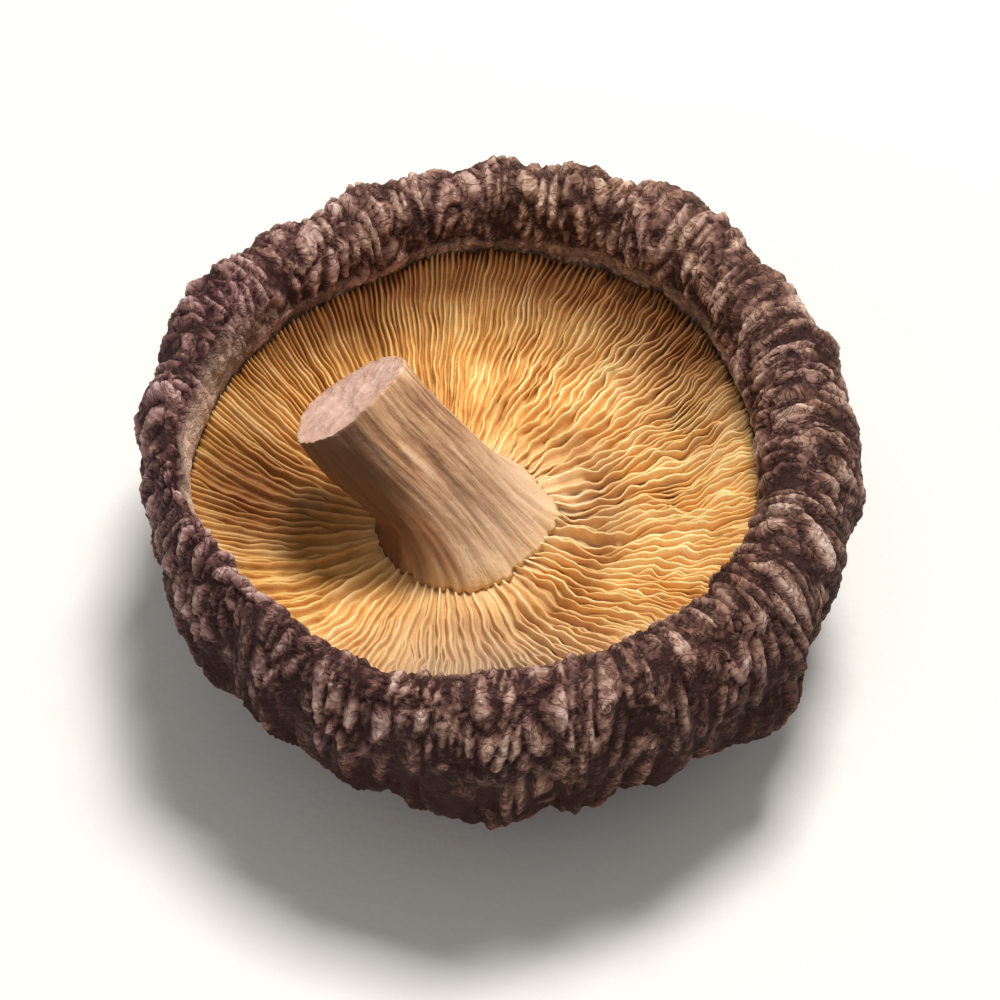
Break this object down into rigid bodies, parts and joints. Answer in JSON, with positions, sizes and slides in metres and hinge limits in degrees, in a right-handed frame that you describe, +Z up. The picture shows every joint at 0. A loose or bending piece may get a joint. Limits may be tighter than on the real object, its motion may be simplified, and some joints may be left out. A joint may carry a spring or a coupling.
{
  "type": "dried shiitake mushroom",
  "caption": "Dried shiitake mushroom lying on its cap, with golden gills in a dark wrinkled rolled rim and a short bent stem.",
  "frame": {"origin": "centre of the small flat spot under the crown of the cap, which the mushroom rests on", "axes": "+Z up out of the gills, -Y towards the side seen first, and the stem leans towards -X"},
  "size_m": [0.0506, 0.0524, 0.0249],
  "materials": {
    "cap_skin": "dry leathery skin of a dried cap, dark purple-brown in the creases and taupe on the ridges; wood stands for dry plant matter",
    "gill_flesh": "matt golden dried gills, ochre in their gaps; wood stands for dry plant matter",
    "stem_flesh": "matt fibrous brown stem with a pale pinkish cut; wood stands for dry plant matter"
  },
  "bodies": {
    "root": {"cap": "cap_skin", "gills": "gill_flesh", "stem": "stem_flesh"}
  },
  "joints": []
}
